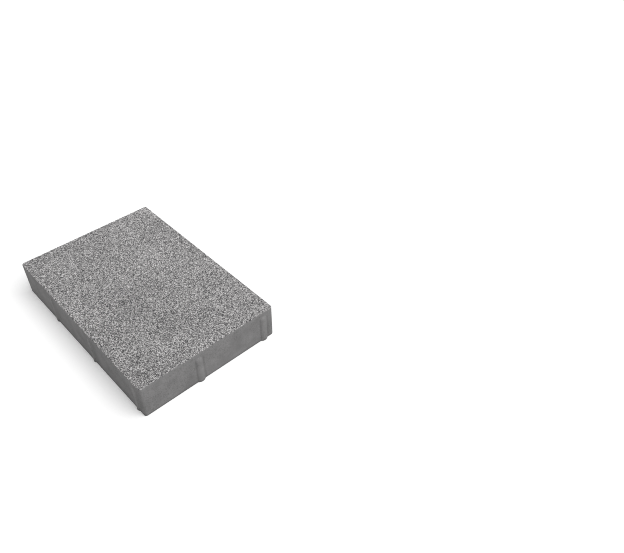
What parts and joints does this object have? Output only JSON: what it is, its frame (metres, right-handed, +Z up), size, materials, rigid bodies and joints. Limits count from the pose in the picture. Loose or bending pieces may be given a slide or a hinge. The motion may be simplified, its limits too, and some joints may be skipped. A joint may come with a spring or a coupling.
{
  "type": "concrete paving stone",
  "caption": "Rectangular concrete paving stone with a blasted grit laid face, plain cast sides and spacer nibs; lies flat on its bed.",
  "frame": {"origin": "middle of the bedding face, on the plane the stone lies on", "axes": "+Z up from the bed to the laid face, X along the stone's length, Y across it"},
  "size_m": [0.605, 0.403, 0.1],
  "materials": {
    "concrete": "matt; blasted grit laid face, plain cast sides"
  },
  "bodies": {
    "root": {"paving_stone": "concrete"}
  },
  "joints": []
}
